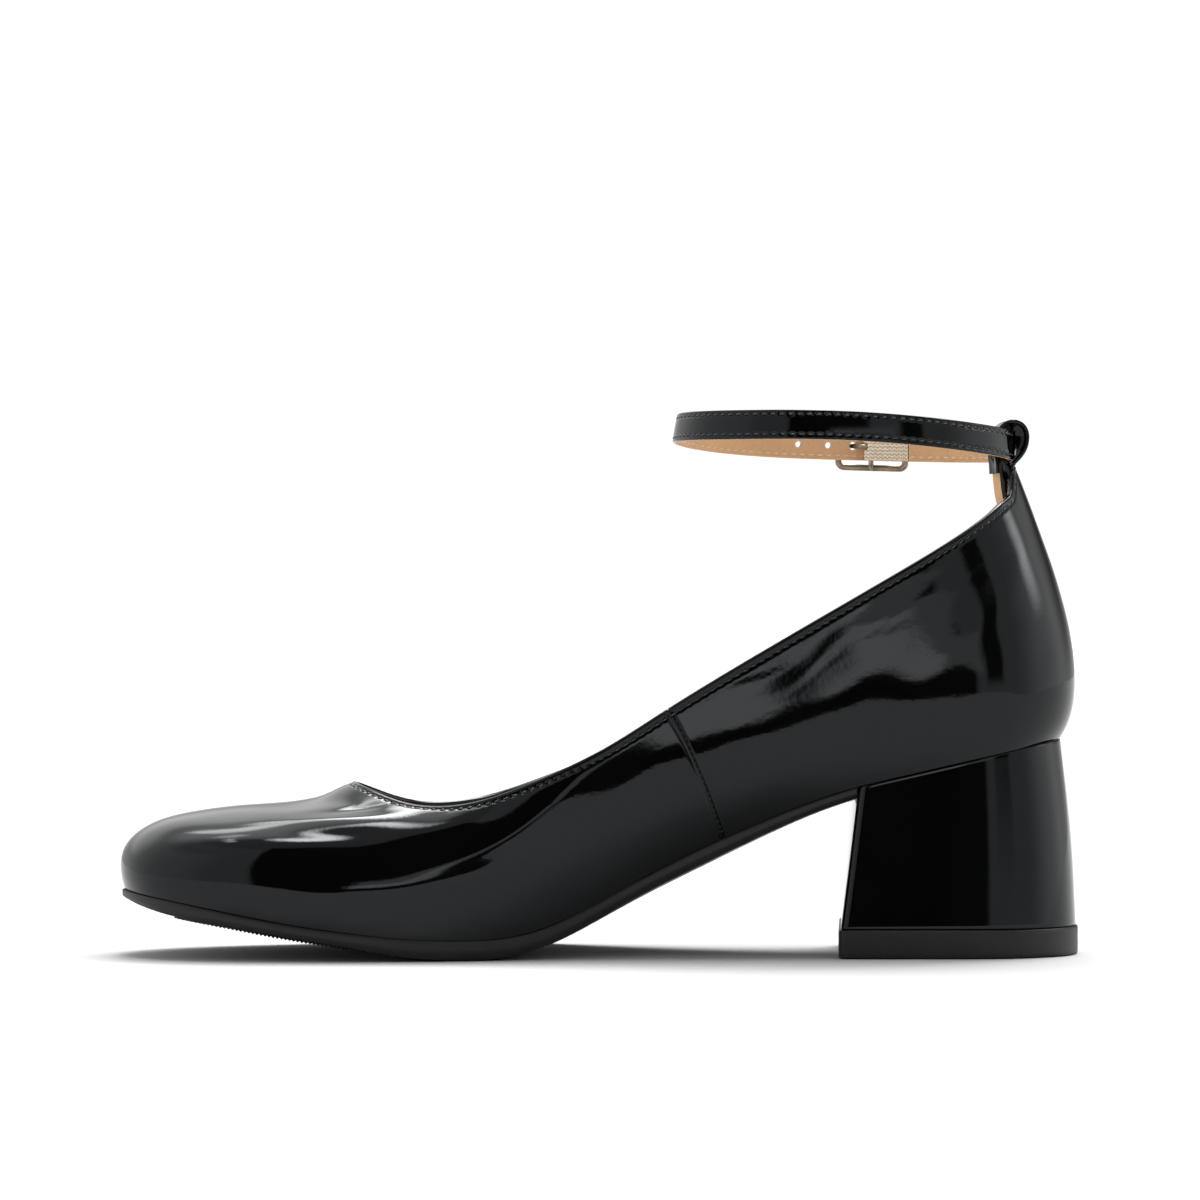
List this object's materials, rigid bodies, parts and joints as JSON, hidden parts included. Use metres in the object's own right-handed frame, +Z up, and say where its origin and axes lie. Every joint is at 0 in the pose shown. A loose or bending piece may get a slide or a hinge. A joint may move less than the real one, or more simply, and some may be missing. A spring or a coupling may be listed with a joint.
{
  "type": "block heel shoe",
  "caption": "Black patent block heel pump for the right foot, low-cut hollow upper, flared heel, rubber sole and a buckled ankle strap held by a loop at the back.",
  "frame": {"origin": "middle of the bounding box at the floor", "axes": "+X from the toe to the heel, -X towards the toe, -Y the medial side, +Y the lateral side with the buckle, +Z up"},
  "size_m": [0.2386, 0.075, 0.1347],
  "materials": {
    "patent": "black patent, high gloss, tan lining inside",
    "sock": "tan sock leather, matte",
    "sole_rubber": "black, satin",
    "heel_gloss": "black gloss",
    "lift_rubber": "black, matte",
    "elastic": "ivory woven elastic",
    "buckle_brass": "pale antique brass"
  },
  "bodies": {
    "root": {"upper": "patent", "insole": "sock", "outsole": "sole_rubber", "heel_block": "heel_gloss", "top_lift": "lift_rubber", "heel_loop": "patent", "ankle_strap": "patent", "elastic_gore": "elastic", "buckle_frame": "buckle_brass", "buckle_prong": "buckle_brass"}
  },
  "joints": []
}
